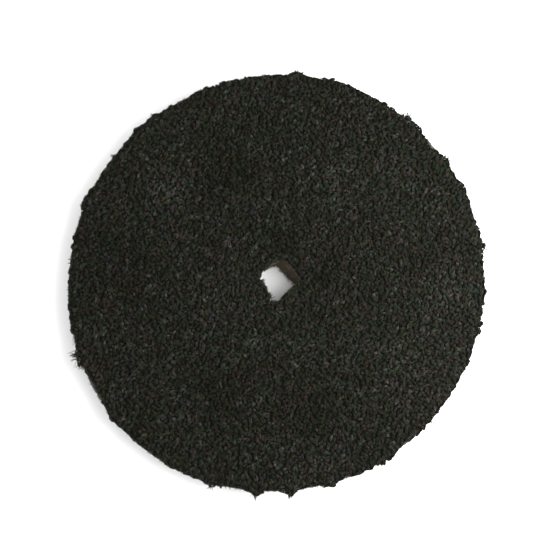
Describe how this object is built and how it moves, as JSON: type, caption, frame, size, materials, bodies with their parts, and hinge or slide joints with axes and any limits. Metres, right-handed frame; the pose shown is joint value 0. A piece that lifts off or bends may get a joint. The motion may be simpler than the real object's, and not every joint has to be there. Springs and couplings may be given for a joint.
{
  "type": "felt polishing wheel",
  "caption": "Round felt polishing wheel with a dark short-pile working face, laminated felt body, hand-cut ragged rim and a central arbor bore.",
  "frame": {"origin": "centre of the arbor bore on the back face, which the wheel lies on", "axes": "+Z along the arbor axis, out of the pile face; +X and +Y lie in the plane of the wheel"},
  "size_m": [0.1524, 0.1524, 0.0127],
  "materials": {
    "pile": "charcoal cut pile, nubby and matt, with a faint brown and green fleck",
    "ground_cloth": "dark plain-woven ground cloth",
    "latex": "dull grey-brown latex binder",
    "contact_adhesive": "dull amber-brown contact adhesive, squeezed to a thin film",
    "body_felt": "brown-grey wool felt, fibrous where it is cut"
  },
  "bodies": {
    "root": {"rear_felt_ply": "body_felt", "ply_bond": "contact_adhesive", "front_felt_ply": "body_felt", "face_bond": "contact_adhesive", "latex_coat": "latex", "woven_ground": "ground_cloth", "pile_face": "pile"}
  },
  "joints": []
}
